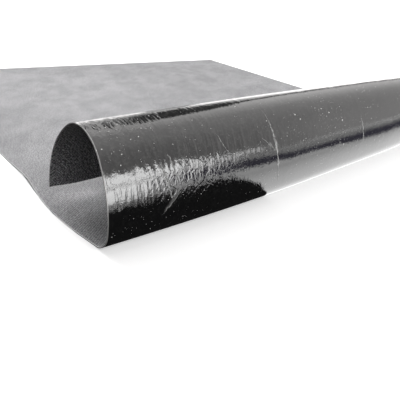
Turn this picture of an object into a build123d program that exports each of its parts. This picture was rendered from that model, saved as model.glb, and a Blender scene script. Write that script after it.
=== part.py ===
from build123d import *
from math import radians
import os

# A cut length of roofing felt, lying fleece side up. Most of it is flat on the floor, the tail,
# and the rest curls back over itself into one open turn, the roll, whose axis runs along Y.
# All sizes are millimetres.

# The sheet: its width along the roll's axis, and its length along the underside at its side edges
sheet_width = 1000
cut_length = 1200

# The layers, from the underside up: the clear release film, the black bitumen and the grey fleece
film_thickness = 0.1
bitumen_thickness = 0.8
fleece_thickness = 0.4

# The roll's end section along the underside: four arcs, each tangent to the last, that turn the
# sheet up at the toe, along the leaning front, over the crown and down the back to the free end
toe_radius = 32
toe_turn = 83
front_radius = 136
front_turn = 37
crown_radius = 47.5
crown_turn = 93
back_radius = 132
back_turn = 54

# Between its ends the roll has swollen: its toe bows out and its crown rises by these lengths,
# which are reached this far in from each side edge
toe_bow = 14
crown_rise = 8.5
swell_reach = 400

# The roll is lofted in straight spans, from section to section at these shares of each reach
reach_shares = (0, 1 / 3, 2 / 3, 1)

roll_arcs = [
    (toe_radius, toe_turn),
    (front_radius, front_turn),
    (crown_radius, crown_turn),
    (back_radius, back_turn),
]
roll_length = sum(radians(turn) * radius for radius, turn in roll_arcs)
tail_length = cut_length - roll_length


def sheet_line(depth, swell=1.0, bow=0.0):
    """The sheet's line in one section, depth above the underside: the flat tail, then the arcs."""
    edges = [Line((-tail_length, depth), (bow, depth))]
    for radius, turn in roll_arcs:
        end = edges[-1]
        edges.append(JernArc(end @ 1, end % 1, radius * swell - depth, turn))
    return edges


crown_height = (Curve() + sheet_line(0)).bounding_box().max.Y


def sheet_section(place, share, depth, thickness):
    """One layer's closed section, at a place along Y that is a share of the swell's reach in.

    The rise and the bow grow from nothing at the side edge to their full size as a parabola.
    """
    fullness = 1 - (1 - share) ** 2
    swell = 1 + fullness * crown_rise / crown_height
    bow = fullness * toe_bow
    under = sheet_line(depth, swell, bow)
    upper = sheet_line(depth + thickness, swell, bow)
    ends = [Line(under[0] @ 0, upper[0] @ 0), Line(under[-1] @ 1, upper[-1] @ 1)]
    return Plane.XZ.offset(-place) * make_face(Curve() + under + upper + ends)


def layer(depth, thickness):
    """One layer of the sheet, depth above the underside, lofted straight from span to span."""
    sections = []
    for side, shares in ((-1, reach_shares), (1, reach_shares[::-1])):
        for share in shares:
            place = side * (sheet_width / 2 - share * swell_reach)
            sections.append(sheet_section(place, share, depth, thickness))
    return loft(sections, ruled=True)


release_film = layer(0, film_thickness)
bitumen_sheet = layer(film_thickness, bitumen_thickness)
fleece_facing = layer(film_thickness + bitumen_thickness, fleece_thickness)

# The origin is at the bottom centre of the whole, on the floor
to_centre = Pos(-release_film.bounding_box().center().X, 0, 0)

os.makedirs("parts", exist_ok=True)
export_step(to_centre * release_film, "parts/release_film.step")
export_step(to_centre * bitumen_sheet, "parts/bitumen_sheet.step")
export_step(to_centre * fleece_facing, "parts/fleece_facing.step")
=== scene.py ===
"""A cut length of roofing felt: a flat tail, and one open turn of roll curled up from it.

The three layers of the sheet are worked out on grids of two numbers: s, the length along the
underside from the tail's cut end, and y, the place along the roll's axis. All sizes are metres.
"""

from math import radians

import bpy
import numpy as np
from mathutils import Matrix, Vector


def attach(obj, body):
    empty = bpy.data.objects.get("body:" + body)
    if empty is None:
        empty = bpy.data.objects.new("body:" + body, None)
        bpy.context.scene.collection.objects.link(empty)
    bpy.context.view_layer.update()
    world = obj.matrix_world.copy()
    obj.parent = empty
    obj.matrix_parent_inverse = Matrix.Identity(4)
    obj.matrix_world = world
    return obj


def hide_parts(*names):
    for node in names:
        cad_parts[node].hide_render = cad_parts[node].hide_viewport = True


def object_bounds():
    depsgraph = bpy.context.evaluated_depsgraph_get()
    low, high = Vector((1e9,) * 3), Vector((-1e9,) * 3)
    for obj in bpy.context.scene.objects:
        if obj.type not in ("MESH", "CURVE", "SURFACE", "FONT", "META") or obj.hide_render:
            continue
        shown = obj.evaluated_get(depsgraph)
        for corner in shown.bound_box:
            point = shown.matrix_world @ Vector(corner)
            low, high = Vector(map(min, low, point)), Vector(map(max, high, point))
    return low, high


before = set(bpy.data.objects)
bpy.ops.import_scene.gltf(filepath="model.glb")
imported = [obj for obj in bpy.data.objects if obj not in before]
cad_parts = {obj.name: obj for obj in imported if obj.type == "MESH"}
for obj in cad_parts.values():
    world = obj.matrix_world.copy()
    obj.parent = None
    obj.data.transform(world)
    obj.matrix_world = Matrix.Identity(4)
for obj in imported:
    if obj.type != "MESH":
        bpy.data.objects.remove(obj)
cad_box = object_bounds()

# Sizes that the solids were made with
SHEET_WIDTH = 1.0
CUT_LENGTH = 1.2
FILM_THICKNESS = 0.0001
BITUMEN_THICKNESS = 0.0008
FLEECE_THICKNESS = 0.0004
ROLL_ARCS = ((0.032, 83), (0.136, 37), (0.0475, 93), (0.132, 54))
TOE_BOW = 0.014
CROWN_RISE = 0.0085
SWELL_REACH = 0.4

HALF_WIDTH = SHEET_WIDTH / 2
ARC_RADII = np.array([radius for radius, turn in ROLL_ARCS])
ARC_TURNS = np.radians([turn for radius, turn in ROLL_ARCS])
ROLL_LENGTH = float((ARC_RADII * ARC_TURNS).sum())
TAIL_LENGTH = CUT_LENGTH - ROLL_LENGTH

# What the solids leave straight: the free end's last stretch waves, and was cut a little longer
# near the near edge, and the tail's near edge was cut in a shallow curve and lifts off the floor
FREE_STRETCH = 0.06
LONGER_CORNER = 0.0022
CUT_WAVE = 0.0009
FREE_WAVE = 0.0011
EDGE_CURVE = 0.009
EDGE_LIFT = 0.0026

# The film's ridges, and the seed that their places are drawn from
RIDGE_COUNT = 420
RIDGE_SEED = 20

# The fleece's pressed dots lie this far apart
DOT_PITCH = 0.0027


def smooth(x, low, high):
    """0 below low, 1 above high, and 3t^2 - 2t^3 between them."""
    t = np.clip((x - low) / (high - low), 0, 1)
    return t * t * (3 - 2 * t)


def bell(x, middle, width):
    """exp(-((x - middle) / width)^2): 1 at the middle, and dying away on both sides."""
    return np.exp(-(((x - middle) / width) ** 2))


# The roll's section

ARC_STARTS = np.concatenate([[0], np.cumsum(ARC_RADII * ARC_TURNS)[:-1]])
ARC_HEADINGS = np.concatenate([[0], np.cumsum(ARC_TURNS)[:-1]])
ARC_X = [0.0]
ARC_Z = [0.0]
for radius, heading, turn in zip(ARC_RADII, ARC_HEADINGS, ARC_TURNS):
    ARC_X.append(ARC_X[-1] + radius * (np.sin(heading + turn) - np.sin(heading)))
    ARC_Z.append(ARC_Z[-1] + radius * (np.cos(heading) - np.cos(heading + turn)))
ARC_X = np.array(ARC_X)
ARC_Z = np.array(ARC_Z)


def section(s):
    """x, z and heading of the underside at length s: straight along the tail, then arc by arc,
    where x = x0 + R (sin(h + a) - sin h) and z = z0 + R (cos h - cos(h + a)) at angle a along.
    """
    along = np.asarray(s, float) - TAIL_LENGTH
    arc = np.clip(np.searchsorted(ARC_STARTS, along, side="right") - 1, 0, len(ARC_RADII) - 1)
    radius = ARC_RADII[arc]
    start = ARC_HEADINGS[arc]
    heading = start + (along - ARC_STARTS[arc]) / radius
    x = ARC_X[arc] + radius * (np.sin(heading) - np.sin(start))
    z = ARC_Z[arc] + radius * (np.cos(start) - np.cos(heading))
    flat = along < 0
    return np.where(flat, along, x), np.where(flat, 0.0, z), np.where(flat, 0.0, heading)


ROLL_X, ROLL_Z = section(np.linspace(TAIL_LENGTH, CUT_LENGTH, 4000))[:2]
CROWN_HEIGHT = float(ROLL_Z.max())
FRONT_REACH = float(ROLL_X.max() * (1 + CROWN_RISE / CROWN_HEIGHT))
TOE_X = float(cad_box[1][0]) - TOE_BOW - FRONT_REACH


def swell_share(near):
    """1 - (1 - d / reach)^2, with d the distance from the nearer side edge, up to the reach."""
    inset = np.clip(np.minimum(near, SHEET_WIDTH - near), 0, SWELL_REACH)
    return 1 - (1 - inset / SWELL_REACH) ** 2


def sheet_point(s, y, depth):
    """The place of a point of the sheet, depth above the underside, and its heading.

    The section at y is the end section grown by the swell and moved out by the bow. The free
    end's cut and its waves are sines along y. The tail's near edge curves out by a parabola to
    the power 1.15 and lifts by a bell, both dying away from the edge as exp(-distance / width).
    """
    s, y = np.broadcast_arrays(np.asarray(s, float), np.asarray(y, float))
    near = y + HALF_WIDTH
    share = swell_share(near)
    swell = 1 + share * CROWN_RISE / CROWN_HEIGHT
    bow = share * TOE_BOW

    free_end = smooth(s, CUT_LENGTH - FREE_STRETCH, CUT_LENGTH)
    longer = LONGER_CORNER * bell(near, 0.07, 0.045) + CUT_WAVE * np.sin(near * 41 + 0.7)
    x, z, heading = section(s + free_end * longer * smooth(near, 0.0, 0.03))
    tail = s < TAIL_LENGTH
    px = np.where(tail, -TAIL_LENGTH + s * (TAIL_LENGTH + bow) / TAIL_LENGTH, bow + swell * x)
    pz = swell * z

    wave = free_end * FREE_WAVE * np.sin(near * 23 + 1.9) * smooth(near, 0.0, 0.05)
    px = px - np.sin(heading) * (depth + wave)
    pz = pz + np.cos(heading) * (depth + wave)

    t = (px + 0.09) / 0.093
    curve = EDGE_CURVE * np.clip(1 - t * t, 0, None) ** 1.15 * (heading < 0.2)
    py = y - curve * np.exp(-near / 0.05)
    lift = EDGE_LIFT * bell(px, -0.212, 0.04) * np.exp(-near / 0.014)
    pz = pz + np.where(heading < 0.01, lift, 0.0)
    return np.stack([px + TOE_X, py, pz], axis=-1), heading


def spaced(low, high, spacing):
    """Numbers from low to high whose steps follow spacing, a function of place."""
    fine = np.linspace(low, high, 4001)
    count = np.concatenate([[0], np.cumsum(np.diff(fine) / spacing((fine[1:] + fine[:-1]) / 2))])
    steps = int(np.ceil(count[-1]))
    return np.interp(np.linspace(0, count[-1], steps + 1), count, fine)


def slab(name, s, y, lower, upper, material):
    """A closed sheet: two grids of points, faced outwards, and the four cut edges between them."""
    rows, columns = len(s), len(y)
    corner = (np.arange(rows - 1)[:, None] * columns + np.arange(columns - 1)[None, :]).ravel()
    top = np.stack([corner, corner + columns, corner + columns + 1, corner + 1], axis=1)
    top = top + rows * columns
    bottom = (top - rows * columns)[:, ::-1]

    def wall(line):
        """The faces between the lower and the upper grid along a line of corner numbers."""
        high = line + rows * columns
        return np.stack([line[:-1], line[1:], high[1:], high[:-1]], axis=1)

    down = np.arange(rows) * columns
    across = np.arange(columns)
    walls = np.concatenate([
        wall(down), wall(across + (rows - 1) * columns),
        wall((down + columns - 1)[::-1]), wall(across[::-1]),
    ])
    faces = np.concatenate([top, bottom, walls])
    points = np.concatenate([lower.reshape(-1, 3), upper.reshape(-1, 3)])

    mesh = bpy.data.meshes.new(name)
    mesh.vertices.add(len(points))
    mesh.vertices.foreach_set("co", points.ravel())
    mesh.loops.add(faces.size)
    mesh.loops.foreach_set("vertex_index", faces.ravel())
    mesh.polygons.add(len(faces))
    mesh.polygons.foreach_set("loop_start", np.arange(len(faces)) * 4)
    mesh.polygons.foreach_set("loop_total", np.full(len(faces), 4))
    is_smooth = np.ones(len(faces), bool)
    is_smooth[-len(walls):] = False
    mesh.polygons.foreach_set("use_smooth", is_smooth)
    mesh.update(calc_edges=True)

    # Each corner's place on the sheet, in metres, across and along
    across_along = np.stack(np.broadcast_arrays(y[None, :], s[:, None]), axis=-1).reshape(-1, 2)
    across_along = np.concatenate([across_along, across_along])
    uv = mesh.uv_layers.new(name="sheet")
    uv.data.foreach_set("uv", across_along[faces.ravel()].ravel())
    mesh.set_sharp_from_angle(angle=radians(50))
    mesh.validate()
    mesh.materials.append(material)
    piece = bpy.data.objects.new(name, mesh)
    bpy.context.scene.collection.objects.link(piece)
    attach(piece, "root")
    return piece


# Node helpers

def new_material(name):
    """A material with its Principled BSDF and output, and nothing else."""
    material = bpy.data.materials.new(name)
    material.use_nodes = True
    tree = material.node_tree
    tree.nodes.clear()
    output = tree.nodes.new("ShaderNodeOutputMaterial")
    shader = tree.nodes.new("ShaderNodeBsdfPrincipled")
    tree.links.new(shader.outputs[0], output.inputs[0])
    return material, tree, shader


def set_inputs(node, values):
    """Sets a node's inputs, by name, to plain values."""
    for name, value in values.items():
        node.inputs[name].default_value = value


def wire(tree, source, target):
    """Joins an output to an input, or sets the input to a number."""
    if isinstance(source, bpy.types.NodeSocket):
        tree.links.new(source, target)
    else:
        target.default_value = source


def maths(tree, operation, a, b=0.0, c=0.0, clamp=False):
    """One operation on up to three values."""
    node = tree.nodes.new("ShaderNodeMath")
    node.operation = operation
    node.use_clamp = clamp
    for value, socket in zip((a, b, c), node.inputs):
        wire(tree, value, socket)
    return node.outputs[0]


def product(tree, first, *others):
    """All the values multiplied together."""
    for other in others:
        first = maths(tree, "MULTIPLY", first, other)
    return first


def parts_of(tree, vector):
    """A vector's x, y and z."""
    node = tree.nodes.new("ShaderNodeSeparateXYZ")
    tree.links.new(vector, node.inputs[0])
    return tuple(node.outputs)


def placed(tree, source, scale=(1, 1, 1), turn=0.0, move=(0, 0, 0)):
    """A vector scaled, then turned about Z by an angle in radians, then moved."""
    node = tree.nodes.new("ShaderNodeMapping")
    wire(tree, source, node.inputs["Vector"])
    set_inputs(node, {"Location": move, "Rotation": (0, 0, turn), "Scale": scale})
    return node.outputs[0]


def noise(tree, vector, scale, detail=3.0, rough=0.55, distort=0.0):
    """The grey value of a noise texture."""
    node = tree.nodes.new("ShaderNodeTexNoise")
    wire(tree, vector, node.inputs["Vector"])
    set_inputs(node, {"Scale": scale, "Detail": detail, "Roughness": rough, "Distortion": distort})
    return node.outputs["Fac"]


def pushed(tree, vector, read_at, scale, reach):
    """A vector pushed about, by up to reach across and along, by the colour of a noise texture."""
    texture = tree.nodes.new("ShaderNodeTexNoise")
    texture.inputs["Scale"].default_value = scale
    tree.links.new(read_at, texture.inputs["Vector"])
    node = tree.nodes.new("ShaderNodeVectorMath")
    node.operation = "MULTIPLY_ADD"
    tree.links.new(texture.outputs["Color"], node.inputs[0])
    node.inputs[1].default_value = (reach, reach, 0)
    tree.links.new(vector, node.inputs[2])
    return node.outputs[0]


def stretch(tree, value, low, high, to_low=0.0, to_high=1.0, soft=True):
    """A value from low to high mapped on to_low to to_high, and held at the ends."""
    node = tree.nodes.new("ShaderNodeMapRange")
    node.interpolation_type = "SMOOTHSTEP" if soft else "LINEAR"
    wire(tree, value, node.inputs[0])
    for number, socket in zip((low, high, to_low, to_high), node.inputs[1:5]):
        socket.default_value = number
    return node.outputs[0]


def blend(tree, share, first, second):
    """The first colour where share is 0, and the second where it is 1."""
    node = tree.nodes.new("ShaderNodeMix")
    node.data_type = "RGBA"
    wire(tree, share, node.inputs[0])
    for value, socket in ((first, node.inputs[6]), (second, node.inputs[7])):
        if isinstance(value, bpy.types.NodeSocket):
            tree.links.new(value, socket)
        else:
            socket.default_value = (*value, 1)
    return node.outputs[2]


def distance_to(tree, vector, place):
    """How far a vector is from a fixed place."""
    node = tree.nodes.new("ShaderNodeVectorMath")
    node.operation = "DISTANCE"
    tree.links.new(vector, node.inputs[0])
    node.inputs[1].default_value = place
    return node.outputs["Value"]


def bump(tree, height, distance, strength=1.0):
    """The normal of a height field whose unit is distance, in metres."""
    node = tree.nodes.new("ShaderNodeBump")
    set_inputs(node, {"Strength": strength, "Distance": distance})
    tree.links.new(height, node.inputs["Height"])
    return node.outputs[0]


def sheet_place(tree):
    """The place on the sheet, as one vector, and its parts across and along from the toe."""
    node = tree.nodes.new("ShaderNodeUVMap")
    node.uv_map = "sheet"
    across, along = parts_of(tree, node.outputs[0])[:2]
    return node.outputs[0], across, maths(tree, "SUBTRACT", along, TAIL_LENGTH)


def mask_group(name, inputs):
    """An empty node group with float inputs, a vector where one is so named, and one mask out."""
    group = bpy.data.node_groups.new(name, "ShaderNodeTree")
    for socket in inputs:
        kind = "NodeSocketVector" if socket == "Vector" else "NodeSocketFloat"
        group.interface.new_socket(socket, in_out="INPUT", socket_type=kind)
    group.interface.new_socket("Mask", in_out="OUTPUT", socket_type="NodeSocketFloat")
    source = group.nodes.new("NodeGroupInput").outputs
    target = group.nodes.new("NodeGroupOutput").inputs["Mask"]
    return group, source, target


def place_group(tree, group, values):
    """A node group placed in a material, with its inputs joined or set by name."""
    node = tree.nodes.new("ShaderNodeGroup")
    node.node_tree = group
    for name, value in values.items():
        wire(tree, value, node.inputs[name])
    return node.outputs["Mask"]


# Dust

def speck_group():
    """Dust specks: a mask of small round dots, a share of which shows, uneven in size and strength."""
    group, source, target = mask_group("dust_specks", ("Vector", "Scale", "Share", "Size"))
    cells = group.nodes.new("ShaderNodeTexVoronoi")
    group.links.new(source["Vector"], cells.inputs["Vector"])
    group.links.new(source["Scale"], cells.inputs["Scale"])
    pick = group.nodes.new("ShaderNodeSeparateColor")
    group.links.new(cells.outputs["Color"], pick.inputs[0])
    shown = maths(group, "LESS_THAN", pick.outputs[0], source["Share"])
    size = product(group, source["Size"], maths(group, "ADD", pick.outputs[1], 0.35))
    dot = maths(group, "LESS_THAN", cells.outputs["Distance"], size)
    strength = maths(group, "MULTIPLY_ADD", pick.outputs[2], 0.7, 0.3)
    group.links.new(product(group, shown, dot, strength), target)
    return group


SPECKS = speck_group()

# Where dust has gathered on the film: its place across and from the toe, and how far it reaches
DUST_SPOTS = ((-0.482, 0.137, 0.022), (-0.185, 0.118, 0.035), (-0.100, 0.110, 0.080))


def specks(tree, vector, scale, share, size):
    """Specks on a vector's cells, in one material."""
    return place_group(tree, SPECKS, {"Vector": vector, "Scale": scale, "Share": share, "Size": size})


def film_dust(tree, uv):
    """The film's dust: specks in loose clusters, smaller ones, and flakes where it has gathered."""
    gathered = 0.0
    for across, from_toe, reach in DUST_SPOTS:
        gap = distance_to(tree, uv, (across, TAIL_LENGTH + from_toe, 0))
        gathered = maths(tree, "ADD", gathered, stretch(tree, gap, 0.3 * reach, reach, 0.3, 0.0))
    clusters = stretch(tree, noise(tree, uv, 14, detail=2), 0.42, 0.66, 0.10, 0.5)
    clusters = maths(tree, "MULTIPLY_ADD", gathered, 2.0, clusters)
    flakes_at = placed(tree, uv, move=(0.11, 0.07, 0))
    small_at = placed(tree, uv, move=(0.31, 0.17, 0))
    dust = specks(tree, uv, 200, clusters, 0.115)
    flakes = specks(tree, flakes_at, 130, product(tree, gathered, 1.6), 0.13)
    small = specks(tree, small_at, 430, product(tree, clusters, 0.7), 0.13)
    return maths(tree, "MAXIMUM", maths(tree, "MAXIMUM", dust, flakes), small)


# Creases

CREASE_INPUTS = ("Across", "Along", "Jitter", "Place", "Lean", "Bend", "Start", "End", "Width",
                 "Strength")

# Each crease: place across the sheet, lean, bend, start and end along it, half its width, strength
CREASES = (
    (-0.2240, -0.235, 0.0, 0.046, 0.164, 0.0011, 1.0),
    (-0.2390, -1.38, 4.0, 0.100, 0.121, 0.0008, 1.0),
    (-0.2375, -0.80, 0.0, 0.096, 0.114, 0.0007, 1.0),
    (-0.2335, -0.16, 0.0, 0.088, 0.124, 0.0007, 1.0),
    (0.0165, -0.36, 0.0, 0.070, 0.126, 0.0010, 1.0),
    (-0.4330, 1.04, 0.0, 0.054, 0.086, 0.0010, 0.9),
    (-0.4300, 0.80, 0.0, 0.056, 0.090, 0.0046, 0.30),
    (-0.4165, -0.27, 0.0, 0.066, 0.124, 0.0012, 1.0),
    (-0.4080, -0.30, 0.0, 0.088, 0.130, 0.0010, 1.0),
    (-0.4560, -0.12, 0.0, 0.070, 0.104, 0.0006, 0.6),
    (-0.4480, -0.10, 0.0, 0.072, 0.100, 0.0005, 0.5),
    (-0.3300, -0.60, 3.0, 0.112, 0.140, 0.0006, 1.0),
)


def crease_group():
    """A crease: a thin line across the sheet at Place that leans, bends and jitters, from Start to
    End along the sheet, tapering at both ends. Width is half its width, in metres.
    """
    group, source, target = mask_group("crease_line", CREASE_INPUTS)
    t = maths(group, "SUBTRACT", source["Along"], source["Start"])
    line = maths(group, "MULTIPLY_ADD", t, source["Lean"], source["Place"])
    line = maths(group, "MULTIPLY_ADD", product(group, t, t), source["Bend"], line)
    line = maths(group, "ADD", line, source["Jitter"])
    away = maths(group, "ABSOLUTE", maths(group, "SUBTRACT", source["Across"], line))
    share = maths(group, "DIVIDE", t, maths(group, "SUBTRACT", source["End"], source["Start"]))
    taper = product(group, stretch(group, share, 0.0, 0.25), stretch(group, share, 0.7, 1.0, 1, 0))
    width = maths(group, "ADD", product(group, source["Width"], taper), 1e-6)
    inside = maths(group, "SUBTRACT", 1.0, maths(group, "DIVIDE", away, width))
    mask = maths(group, "MULTIPLY", maths(group, "MAXIMUM", inside, 0.0), taper, clamp=True)
    group.links.new(product(group, mask, source["Strength"]), target)
    return group


CREASE = crease_group()


def film_creases(tree, uv, across, from_toe):
    """All the film's creases; where two meet, the stronger one shows."""
    jitter = maths(tree, "MULTIPLY_ADD", noise(tree, uv, 160, detail=2), 0.006, -0.003)
    mask = 0.0
    for numbers in CREASES:
        values = dict(zip(CREASE_INPUTS, (across, from_toe, jitter, *numbers)))
        mask = maths(tree, "MAXIMUM", mask, place_group(tree, CREASE, values))
    return mask


# The release film

def film_lines(tree, uv, across, from_toe, crumple):
    """The height of the film's crinkles: long lines round the roll and short slanted ones, which
    fade along the roll, and crumpled cells. All of them are flatter in calm places. The grain
    is added last.
    """
    long_lines = noise(tree, placed(tree, uv, scale=(1.0, 0.10, 1.0)), 300, detail=1.5, rough=0.45)
    slanted = placed(tree, uv, scale=(1.0, 0.22, 1.0), turn=radians(9))
    short_lines = noise(tree, slanted, 520, detail=1.0)
    patches = noise(tree, placed(tree, uv, scale=(1.0, 0.6, 1.0)), 22, detail=1.0)
    calm = stretch(tree, patches, 0.35, 0.62, 0.25, 1.0)
    off_edge = stretch(tree, across, -0.475, -0.43, 0.5, 1.0)
    fading = stretch(tree, across, -0.38, -0.24, 1.0, 0.16)
    higher_up = stretch(tree, from_toe, 0.070, 0.094)
    near_end = stretch(tree, across, -0.44, -0.38, 1, 0)
    strong = maths(tree, "MULTIPLY_ADD", maths(tree, "MAXIMUM", higher_up, near_end), 0.7, 0.3)
    share = product(tree, off_edge, fading, strong)
    height = product(tree, long_lines, share)
    height = maths(tree, "MULTIPLY_ADD", short_lines, product(tree, share, 0.35), height)
    height = maths(tree, "MULTIPLY_ADD", crumple, 0.35, height)
    grain = noise(tree, uv, 700, detail=2, rough=0.6)
    return maths(tree, "MULTIPLY_ADD", grain, 0.10, product(tree, height, calm))


def handled_folds(tree, uv, across, from_toe):
    """Small ringed folds where the sheet was handled: on the front, and at the crown's near end."""
    folds = tree.nodes.new("ShaderNodeTexVoronoi")
    folds.feature = "DISTANCE_TO_EDGE"
    folds.inputs["Scale"].default_value = 150
    drawn_out = placed(tree, uv, scale=(1.0, 0.7, 1.0))
    tree.links.new(pushed(tree, drawn_out, uv, 120, 0.008), folds.inputs["Vector"])
    front = product(tree, stretch(tree, across, -0.465, -0.43),
                    stretch(tree, across, -0.37, -0.27, 1, 0),
                    stretch(tree, from_toe, 0.105, 0.125, 1, 0))
    crown = product(tree, stretch(tree, across, -0.455, -0.415, 1, 0),
                    stretch(tree, from_toe, 0.148, 0.160))
    ring = stretch(tree, folds.outputs["Distance"], 0.0, 0.22, 1, 0)
    return product(tree, ring, maths(tree, "MAXIMUM", front, crown))


def release_film_finish():
    """Clear film over black bitumen: dark, mirror-like, finely crinkled round the roll, dusty, with a
    painted highlight on its near rim.
    """
    black = (0.004, 0.004, 0.0045)
    haze = (0.055, 0.055, 0.053)
    pale_dust_and_highlight = (0.92, 0.92, 0.90)
    material, tree, shader = new_material("release_film")
    uv, across, from_toe = sheet_place(tree)
    crumple = noise(tree, uv, 150, detail=2.5, rough=0.5, distort=0.8)
    crease = film_creases(tree, uv, across, from_toe)

    height = film_lines(tree, uv, across, from_toe, crumple)
    height = maths(tree, "MULTIPLY_ADD", handled_folds(tree, uv, across, from_toe), 0.22, height)
    height = maths(tree, "MULTIPLY_ADD", crease, 0.8, height)
    tree.links.new(bump(tree, height, 0.0006), shader.inputs["Normal"])

    # Pale where there is dust or a crease, and a painted highlight along the near rim as far as the crown
    rim_highlight_mask = product(tree, stretch(tree, across, -HALF_WIDTH + 0.0005, -HALF_WIDTH + 0.0012, 0.4, 0.0),
                  stretch(tree, from_toe, 0.16, 0.185, 1, 0))
    pale = maths(tree, "MAXIMUM", film_dust(tree, uv), product(tree, crease, 0.6))
    pale = maths(tree, "MAXIMUM", pale, rim_highlight_mask)
    fine = noise(tree, uv, 420, detail=2.5, rough=0.7)
    cloud = maths(tree, "MULTIPLY_ADD", fine, 0.6, product(tree, crumple, 0.4))
    smear = product(tree, stretch(tree, cloud, 0.46, 0.66),
                    stretch(tree, from_toe, 0.09, 0.12, 0.2, 1.0))
    film_colour = blend(tree, smear, black, haze)
    tree.links.new(blend(tree, pale, film_colour, pale_dust_and_highlight), shader.inputs["Base Color"])
    rough = stretch(tree, crumple, 0.3, 0.7, 0.035, 0.075)
    wire(tree, maths(tree, "MULTIPLY_ADD", pale, 0.6, rough), shader.inputs["Roughness"])
    shader.inputs["IOR"].default_value = 2.45
    return material


# The cut bitumen

def bitumen_finish():
    """Cut bitumen: black, dull and grainy, with grey on it that is partly dust and partly a painted
    highlight on the cut edge, less of it on the roll's back.
    """
    black = (0.02, 0.02, 0.02)
    grey_dust_and_highlight = (0.30, 0.295, 0.29)
    material, tree, shader = new_material("cut_bitumen")
    place = tree.nodes.new("ShaderNodeTexCoord").outputs["Object"]
    from_toe = sheet_place(tree)[2]
    # Less grey on the roll's back: the grey is partly dust and partly a painted highlight on the cut edge
    dust_and_highlight_share = stretch(tree, from_toe, 0.155, 0.185, 1.0, 0.25)
    dust = product(tree, stretch(tree, noise(tree, place, 260, detail=4), 0.42, 0.7), dust_and_highlight_share)
    tree.links.new(blend(tree, dust, black, grey_dust_and_highlight), shader.inputs["Base Color"])
    shader.inputs["Roughness"].default_value = 0.62
    grain = noise(tree, place, 1500, detail=4, rough=0.7)
    tree.links.new(bump(tree, grain, 0.0002, 0.6), shader.inputs["Normal"])
    return material


# The fleece

# The fleece's paler places, painted light in the middle of the tail and just inside the roll's
# mouth: each one's place across and from the toe, its inner and outer reach, and how much paler it is
PAINTED_LIGHT_PLACES = (
    (-0.25, -0.62, 0.10, 0.36, 0.13),
    (-0.447, -0.085, 0.012, 0.062, 0.45),
)


def pressed_dots(tree, uv):
    """Pressed dots in a slanted, slightly shaken grid, where cos(2 pi a / p) + cos(2 pi b / p) is
    high; a and b are the places along the grid's two directions, and p is the pitch.
    """
    a, b = parts_of(tree, placed(tree, pushed(tree, uv, uv, 240, 0.0007), turn=radians(38)))[:2]
    step = 2 * np.pi / DOT_PITCH
    rows = maths(tree, "COSINE", product(tree, a, step))
    columns = maths(tree, "COSINE", product(tree, b, step))
    return stretch(tree, maths(tree, "ADD", rows, columns), -0.4, 1.3)


def fleece_ground(tree, uv):
    """The fleece's own grey, in drawn-out clouds and smaller patches."""
    dark_grey = (0.51, 0.51, 0.528)
    light_grey = (0.72, 0.72, 0.738)
    drawn = placed(tree, placed(tree, uv, turn=radians(45)), scale=(0.6, 1, 1))
    clouds = noise(tree, drawn, 16, detail=3, rough=0.5, distort=0.3)
    patches = noise(tree, drawn, 52, detail=3, rough=0.55)
    shade = maths(tree, "ADD", product(tree, clouds, 0.66), product(tree, patches, 0.34))
    return blend(tree, stretch(tree, shade, 0.34, 0.66), dark_grey, light_grey)


def painted_light_and_shade(tree, uv, across, from_toe):
    """How much of its own grey the fleece keeps, which paints shade and light into it: all of it on
    the tail, a flecked share round the bend, as painted shade on the roll's inner wall, least under
    the crown and away from the near end, and more in the paler places, which are painted light.
    """
    # Painted shade: the fleece is darker round the bend, deepest under the crown and away from the near
    # end
    bend_shade = stretch(tree, from_toe, 0.09, 0.15)
    woven = placed(tree, placed(tree, uv, turn=radians(40)), scale=(0.5, 1, 1))
    flecks = stretch(tree, noise(tree, woven, 700, detail=2, rough=0.6), 0.38, 0.64, 0.05, 0.85)
    flecked_shade = product(tree, flecks, stretch(tree, from_toe, 0.17, 0.32, 0.08, 1.5),
                      stretch(tree, across, -HALF_WIDTH, -0.44, 1.25, 0.6))
    keep = maths(tree, "MULTIPLY_ADD", bend_shade, maths(tree, "SUBTRACT", flecked_shade, 1.0), 1.0)
    # Painted light: the fleece is paler round each of these places
    for lit_across, lit_from_toe, inner, outer, gain in PAINTED_LIGHT_PLACES:
        gap = distance_to(tree, uv, (lit_across, TAIL_LENGTH + lit_from_toe, 0))
        keep = maths(tree, "ADD", keep, stretch(tree, gap, inner, outer, gain, 0.0))
    return keep


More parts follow.
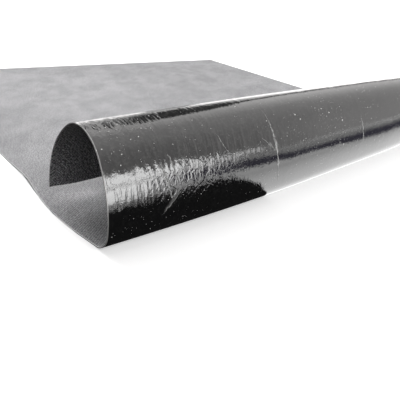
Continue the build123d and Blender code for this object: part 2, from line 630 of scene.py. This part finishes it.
def fleece_finish():
    """Grey point-bonded fleece: pressed dots in a slanted grid, loose fibres, cloudy shade, with painted
    shade in the dots and round the bend, painted light in two paler places, and a painted highlight
    on the cut rim.
    """
    pressed_dot_shade = (0.06, 0.06, 0.064)
    fibre = (0.66, 0.66, 0.67)
    hollow = (0.09, 0.09, 0.095)
    tuft = (0.9, 0.9, 0.9)
    rim_highlight = (0.86, 0.86, 0.86)
    material, tree, shader = new_material("bonded_fleece")
    uv, across, from_toe = sheet_place(tree)
    dots = pressed_dots(tree, uv)
    fibres = noise(tree, placed(tree, uv, scale=(1, 0.35, 1), turn=radians(20)), 2600, rough=0.7)
    tangle = noise(tree, placed(tree, uv, scale=(0.4, 1, 1), turn=radians(-25)), 2100, rough=0.7)
    grain = noise(tree, uv, 430, rough=0.65)

    # The pressed dots are the fleece's own pattern; their dark grey is painted shade in the pressed
    # hollows
    colour = blend(tree, product(tree, dots, 0.78), fleece_ground(tree, uv), pressed_dot_shade)
    colour = blend(tree, stretch(tree, fibres, 0.35, 0.75, 0.0, 0.35), colour, fibre)
    colour = blend(tree, stretch(tree, grain, 0.38, 0.60, 0.62, 0.0), colour, hollow)
    colour = blend(tree, product(tree, specks(tree, uv, 260, 0.05, 0.14), 0.8), colour, tuft)
    # The grey is scaled by painted shade round the bend and by painted light in the paler places
    shaded = tree.nodes.new("ShaderNodeVectorMath")
    shaded.operation = "SCALE"
    tree.links.new(colour, shaded.inputs[0])
    tree.links.new(painted_light_and_shade(tree, uv, across, from_toe), shaded.inputs["Scale"])

    # The cut rim is pale, a painted highlight where the edge catches the light, but less so along the
    # tail, and hardly at all on the roll's back
    rim_highlight_mask = product(tree, stretch(tree, across, -HALF_WIDTH + 0.0008, -HALF_WIDTH + 0.0018, 0.9, 0.0),
                  stretch(tree, from_toe, -0.09, -0.04, 0.5, 1.0),
                  stretch(tree, from_toe, 0.155, 0.185, 1, 0.1))
    tree.links.new(blend(tree, rim_highlight_mask, shaded.outputs[0], rim_highlight), shader.inputs["Base Color"])

    set_inputs(shader, {"Roughness": 0.85, "Specular IOR Level": 0.2, "Sheen Weight": 0.04,
                        "Sheen Roughness": 0.5})
    height = maths(tree, "SUBTRACT", product(tree, maths(tree, "ADD", fibres, tangle), 0.5),
                   product(tree, dots, 0.8))
    tree.links.new(bump(tree, height, 0.0006, 0.8), shader.inputs["Normal"])
    return material


# The sheet's three layers

def column_spacing(fine, coarse):
    """Steps along the roll: fine for the nearest part, and opening out to coarse far along it."""
    return lambda y: fine + (coarse - fine) * smooth(y + HALF_WIDTH, 0.26, 0.62)


def row_spacing(tail, roll):
    """Steps along the sheet: open on the tail, and close on the roll."""
    return lambda s: tail + (roll - tail) * smooth(s, TAIL_LENGTH - 0.04, TAIL_LENGTH - 0.005)


def layer(name, s, y, depth, thickness, material, crinkle=0.0):
    """One layer of the sheet from depth up, whose lower face a crinkle, in metres, pushes out."""
    lower, heading = sheet_point(s[:, None], y[None, :], depth)
    upper = sheet_point(s[:, None], y[None, :], depth + thickness)[0]
    lower[..., 0] += np.sin(heading) * crinkle
    lower[..., 2] -= np.cos(heading) * crinkle
    return slab(name, s, y, lower, upper, material)


def film_crinkle(s, y):
    """How far the film stands off the bitumen: ridges that run round the roll.

    Each ridge is h exp(-(across / width)^2) exp(-(along / length)^4), with across measured from
    a line that leans and bends a little; where ridges meet, the higher one shows. They are lower
    far along the roll, and low down on the front away from its near end.
    """
    rng = np.random.default_rng(RIDGE_SEED)
    near = (y + HALF_WIDTH)[None, :]
    along = (s - TAIL_LENGTH)[:, None]
    height = np.zeros((len(s), len(y)))
    for ridge in range(RIDGE_COUNT):
        place = rng.uniform(0, 1) ** 1.5 * 0.62
        middle = rng.normal(0.118, 0.035)
        length = rng.uniform(0.006, 0.022)
        width = rng.uniform(0.0013, 0.0026)
        lean = rng.normal(-0.10, 0.12)
        bend = rng.normal(0, 2.0)
        tall = rng.uniform(0.00006, 0.00032) * (1 - 0.65 * smooth(place, 0.13, 0.27))
        columns = np.abs(near[0] - place) < 0.02
        t = along - middle
        across = near[:, columns] - place - lean * t - bend * t * t
        lowered = 0.7 * smooth(place, 0.06, 0.12) * (1 - smooth(along, 0.070, 0.094))
        one = tall * np.exp(-((across / width) ** 2) - (t / length) ** 4) * (1 - lowered)
        height[:, columns] = np.maximum(height[:, columns], one)
    return height * smooth(along, -0.002, 0.02)


roll_rows = spaced(0, CUT_LENGTH, row_spacing(0.06, 0.0032))
fleece_rows = spaced(0, CUT_LENGTH, row_spacing(0.012, 0.0032))
film_y = spaced(-HALF_WIDTH, HALF_WIDTH, column_spacing(0.0014, 0.006))
layer_y = spaced(-HALF_WIDTH, HALF_WIDTH, column_spacing(0.006, 0.02))

film = layer("release_film_surface", roll_rows, film_y, 0.0, FILM_THICKNESS, release_film_finish(),
             film_crinkle(roll_rows, film_y))
bitumen = layer("bitumen_body", roll_rows, layer_y, FILM_THICKNESS, BITUMEN_THICKNESS, bitumen_finish())
fleece = layer("fleece_surface", fleece_rows, layer_y, FILM_THICKNESS + BITUMEN_THICKNESS,
               FLEECE_THICKNESS, fleece_finish())
for piece, node, slot in ((film, "release_film", "film"), (bitumen, "bitumen_sheet", "bitumen"),
                          (fleece, "fleece_facing", "fleece")):
    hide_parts(node)


# The camera

CAMERA_PLACE = (TOE_X + 0.3529, -HALF_WIDTH - 0.1918, 0.2848)
CAMERA_RIGHT = (0.6631, 0.7400, 0.1130)
CAMERA_FORWARD = (-0.6174, 0.6260, -0.4764)
CAMERA_LENS = 36.72


def camera_at(place, right, forward, lens):
    """A camera whose picture's right and forward directions are the given ones."""
    forward = np.array(forward) / np.linalg.norm(forward)
    right = np.array(right) - forward * np.dot(right, forward)
    right /= np.linalg.norm(right)
    up = np.cross(right, forward)
    data = bpy.data.cameras.new("camera")
    data.lens = lens
    data.sensor_width = 36
    data.clip_end = 60
    camera = bpy.data.objects.new("camera", data)
    turn = Matrix(np.stack([right, up, -forward], axis=1).tolist()).to_4x4()
    camera.matrix_world = Matrix.Translation(place) @ turn
    bpy.context.scene.collection.objects.link(camera)
    bpy.context.scene.camera = camera


camera_at(CAMERA_PLACE, CAMERA_RIGHT, CAMERA_FORWARD, CAMERA_LENS)


# The stage: the floor, and cards that show only in gloss

# The place in front of the roll's near end that the wall cards are measured from
CARD_CENTRE = (TOE_X + 0.035, -HALF_WIDTH + 0.08, 0.068)

# The pools' centre on the floor, from the toe's near end
POOL_X = 0.035
POOL_Y = 0.06

# The floor lies just under the sheet, with room for the cards between them
FLOOR_REACH = 30
FLOOR_Z = -0.0002


def glow_material(name, level, tint=(1, 1, 1)):
    """A plain glow."""
    material = bpy.data.materials.new(name)
    material.use_nodes = True
    tree = material.node_tree
    tree.nodes.clear()
    output = tree.nodes.new("ShaderNodeOutputMaterial")
    glow = tree.nodes.new("ShaderNodeEmission")
    glow.inputs[0].default_value = (*tint, 1)
    glow.inputs[1].default_value = level
    tree.links.new(glow.outputs[0], output.inputs[0])
    return material


def graded_glow(name, low, high, level_low, level_high):
    """A glow whose level runs evenly along x, from one place to another."""
    material = glow_material(name, 1.0)
    tree = material.node_tree
    x = parts_of(tree, tree.nodes.new("ShaderNodeTexCoord").outputs["Object"])[0]
    level = stretch(tree, x, low, high, level_low, level_high, soft=False)
    tree.links.new(level, tree.nodes["Emission"].inputs[1])
    return material


def pool_glow(name, near, far, level_near, level_far):
    """A glow that grows with the distance from the pools' centre."""
    material = glow_material(name, 1.0)
    tree = material.node_tree
    place = tree.nodes.new("ShaderNodeTexCoord").outputs["Object"]
    gap = distance_to(tree, place, (TOE_X + POOL_X, -HALF_WIDTH + POOL_Y, 0))
    level = stretch(tree, gap, near, far, level_near, level_far)
    tree.links.new(level, tree.nodes["Emission"].inputs[1])
    return material


def stage_card(name, points, material):
    """A flat card through the given points."""
    mesh = bpy.data.meshes.new(name)
    mesh.from_pydata(points, [], [tuple(range(len(points)))])
    mesh.materials.append(material)
    card = bpy.data.objects.new(name, mesh)
    bpy.context.scene.collection.objects.link(card)
    return card


def reflected_card(name, points, material):
    """A card that shows in gloss, and neither to the camera nor in shade and light."""
    card = stage_card(name, points, material)
    card.visible_camera = False
    card.visible_diffuse = False
    card.visible_shadow = False
    card.visible_transmission = False
    card.visible_volume_scatter = False


def floor_card(name, outline, z, material):
    """A card that lies on the floor; its outline is measured from the toe's near end."""
    reflected_card(name, [(TOE_X + x, y - HALF_WIDTH, z) for x, y in outline], material)


def wall_card(name, outline, level, distance=1.1):
    """An upright glowing card whose outline is given as azimuth and elevation, in degrees, from
    its centre: at angle a from the card's own azimuth it lies D / cos a away, D tan a to the side.
    """
    azimuth, elevation = np.radians(np.array(outline, float)).T
    facing = azimuth.mean()
    out = np.array([np.cos(facing), np.sin(facing), 0])
    side = np.array([-np.sin(facing), np.cos(facing), 0])
    aside = np.tan(azimuth - facing)[:, None]
    up = (np.tan(elevation) / np.cos(azimuth - facing))[:, None]
    points = np.array(CARD_CENTRE) + distance * (out + aside * side + up * np.array([0, 0, 1]))
    reflected_card(name, points.tolist(), glow_material(name, level))


def beside_roll(low, high):
    """Points along the line where the roll meets the floor, from low to high, just clear of it."""
    return [(float(TOE_BOW * swell_share(y)) + 0.0015, y) for y in np.linspace(low, high, 24)]


def floor_finish():
    """White and dull, with a faint glow of its own."""
    material, tree, shader = new_material("floor_white")
    set_inputs(shader, {"Base Color": (0.93, 0.93, 0.93, 1), "Roughness": 0.9,
                        "Specular IOR Level": 0.1, "Emission Color": (1, 1, 1, 1),
                        "Emission Strength": 0.4})
    return material


floor_corners = [(x * FLOOR_REACH, y * FLOOR_REACH, FLOOR_Z)
                 for x, y in ((-1, -1), (1, -1), (1, 1), (-1, 1))]
floor = stage_card("floor", floor_corners, floor_finish())
floor.visible_diffuse = False

# Cards on the floor, each a few hundredths of a millimetre above the one that it covers
PALE_FLOOR = (
    (0.2, 0.28), (0.345, 0.37), (0.273, 0.588), (0.25, 0.75), (0.20, 0.80), (0.185, 0.94),
    (0.15, 1.30), (0.15, 3.5), (0.10, 3.5), (0.10, 0.28),
)
TABLE_EDGE = (
    (0.39, 0.44), (0.53, 0.41), (0.70, 0.47), (1.00, 0.65), (1.65, 1.06), (7.0, 4.1), (7.0, 5.7),
    (3.7, 3.3), (1.45, 1.50), (0.742, 1.0), (0.48, 0.90), (0.47, 1.10), (0.528, 1.67), (0.60, 3.5),
    (0.15, 3.5), (0.15, 1.30), (0.185, 0.94), (0.20, 0.80), (0.25, 0.75), (0.273, 0.588),
)
BODY_FLAG = (
    *beside_roll(-0.04, 0.278),
    (0.064, 0.281), (0.077, 0.289), (0.094, 0.297), (0.142, 0.307), (0.211, 0.323), (0.249, 0.330),
    (0.289, 0.315), (0.266, 0.279), (0.229, 0.236), (0.188, 0.194), (0.20, 0.10), (0.20, -0.04),
)
floor_card("room_floor_card", ((0.28, -2.5), (6, -2.5), (6, 6), (0.28, 6)), -0.00012,
           glow_material("room_grey", 0.6))
floor_card("pale_floor_card", PALE_FLOOR, -0.00006, glow_material("paper_white", 1.15))
floor_card("table_edge_flag", TABLE_EDGE, -0.00006,
           glow_material("flag_table", 0.13, tint=(0.85, 0.82, 1.1)))
floor_card("body_flag", BODY_FLAG, 0.00003, glow_material("flag_dark", 0.018))
floor_card("bright_floor_card", [*beside_roll(0.278, 2.5), (0.2, 2.5), (0.2, 0.262)], 0.00001,
           graded_glow("reflector_white", TOE_X + 0.02, TOE_X + 0.2, 2.1, 0.94))

# Pools of light on the floor: each outline is distance and azimuth from the pools' centre, and
# the four numbers are the distances and the levels of the pool's glow
for name, outline, levels in (
    ("window_pool", ((0.18, 5), (1.15, 5), (1.15, 20), (0.18, 20)), (0.17, 0.42, 0.1, 3.3)),
    ("window_pool_middle", ((0.18, 20), (1.15, 20), (1.15, 25), (0.18, 25)), (0.16, 0.80, 0.1, 2.3)),
    ("window_pool_side", ((0.18, 25), (1.15, 25), (1.15, 31), (0.70, 34.5), (0.60, 39), (0.58, 42),
                          (0.18, 42)), (0.19, 0.40, 0.05, 1.15)),
):
    pool = [(POOL_X + r * np.cos(radians(a)), POOL_Y + r * np.sin(radians(a))) for r, a in outline]
    floor_card(name, pool, 0.00008, pool_glow(name, *levels))

# Cards on the walls: the window's panes, the dim card behind the roll, and the dark flags above
DARK_FLAG = (
    (121, 40), (126, 49), (133, 52), (140, 46), (144, 38), (146, 28), (143, 20), (136, 18),
    (129, 21), (124, 29),
)
DARK_STRIP = (
    (129, 30), (125, 27), (120, 19), (115.5, 15), (110, 12), (103, 9.5), (103, 6), (110, 7.5),
    (115.5, 9.5), (120, 12.5), (123.5, 18), (128, 22),
)
wall_card("window_high", ((5, 5.2), (33, 4.2), (33, 9.5), (28, 13), (24, 15.5), (20, 16.5), (5, 17)), 3.4)
wall_card("window_high_side", ((33, 4), (50, 4), (50, 7.5), (40, 8), (33, 9.5)), 2.1)
wall_card("window_low", ((5, -3.4), (22, -3.4), (27, 3.0), (5, 2.8)), 3.6)
wall_card("window_low_side", ((22, -3.4), (27.5, -3.4), (30.5, 0), (32, 3.0), (27, 3.0)), 2.1)
wall_card("window_low_end", ((30.5, 0), (35.5, 0.6), (45, 1.3), (45, 3.6), (32, 3.0)), 1.25)
wall_card("dim_line_card", ((138.3, -4.3), (148.5, -4.3), (148.5, 14), (138.3, 14)), 0.62, distance=0.9)
wall_card("dark_flag", DARK_FLAG, 0.08, distance=3.0)
wall_card("dark_flag_strip", DARK_STRIP, 0.08, distance=3.0)
wall_card("grey_flag", ((135, 52), (144, 49), (152, 30), (149, 18), (141, 18)), 0.45, distance=3.1)


# Lights and surroundings

def sun(name, strength, spread, tilt):
    """A sun that doesn't show in gloss; its spread and its turns about X, Y and Z are degrees."""
    data = bpy.data.lights.new(name, "SUN")
    data.energy = strength
    data.angle = radians(spread)
    light = bpy.data.objects.new(name, data)
    light.rotation_euler = [radians(turn) for turn in tilt]
    light.visible_glossy = False
    bpy.context.scene.collection.objects.link(light)


sun("overhead_light", 0.58, 80, (-8, -24, 0))
sun("side_light", 1.1, 30, (0, 52, 10))
sun("left_light", 2.3, 26, (0, -72, 3))

# The level of the studio's walls, at shares of the way from the left to the right
WALL_STOPS = ((0.0, 1.15), (0.3, 1.28), (0.5, 0.74), (0.75, 0.58), (0.95, 0.34))


def studio_world():
    """The studio's walls: paler towards the far left, dim behind the camera, pale at the horizon."""
    world = bpy.data.worlds.new("studio")
    world.use_nodes = True
    tree = world.node_tree
    tree.nodes.clear()
    output = tree.nodes.new("ShaderNodeOutputWorld")
    background = tree.nodes.new("ShaderNodeBackground")
    x, y, z = parts_of(tree, tree.nodes.new("ShaderNodeTexCoord").outputs["Generated"])
    walls = tree.nodes.new("ShaderNodeValToRGB")
    tree.links.new(stretch(tree, x, -1, 1, soft=False), walls.inputs[0])
    elements = walls.color_ramp.elements
    elements[0].position, elements[1].position = WALL_STOPS[0][0], WALL_STOPS[-1][0]
    for place, level in WALL_STOPS[1:-1]:
        elements.new(place)
    for element, (place, level) in zip(elements, WALL_STOPS):
        element.color = (level, level, level, 1)

    above = product(tree, walls.outputs[0], stretch(tree, y, -0.35, 0.15, 0.25, 1.0))
    far_left = product(tree, stretch(tree, x, -0.3, 0.05, 1, 0), stretch(tree, y, -0.1, 0.25))
    bright = stretch(tree, z, 0.10, 0.26, 1.9, 0.35)
    plain = maths(tree, "MINIMUM", stretch(tree, y, -0.5, 0.0, 0.45, 0.66),
                  stretch(tree, x, 0.50, 0.80, 0.66, 0.37))
    horizon = maths(tree, "MULTIPLY_ADD", far_left, bright, plain)
    low = stretch(tree, z, 0.16, 0.45, 1, 0)
    level = maths(tree, "MULTIPLY_ADD", maths(tree, "SUBTRACT", horizon, above), low, above)
    level = product(tree, level, stretch(tree, z, -0.06, -0.03, 0.08, 1.0))
    tree.links.new(level, background.inputs[1])
    tree.links.new(background.outputs[0], output.inputs[0])
    background.inputs[0].default_value = (1, 0.985, 0.98, 1)
    bpy.context.scene.world = world


studio_world()
bpy.context.scene.view_settings.view_transform = "Standard"
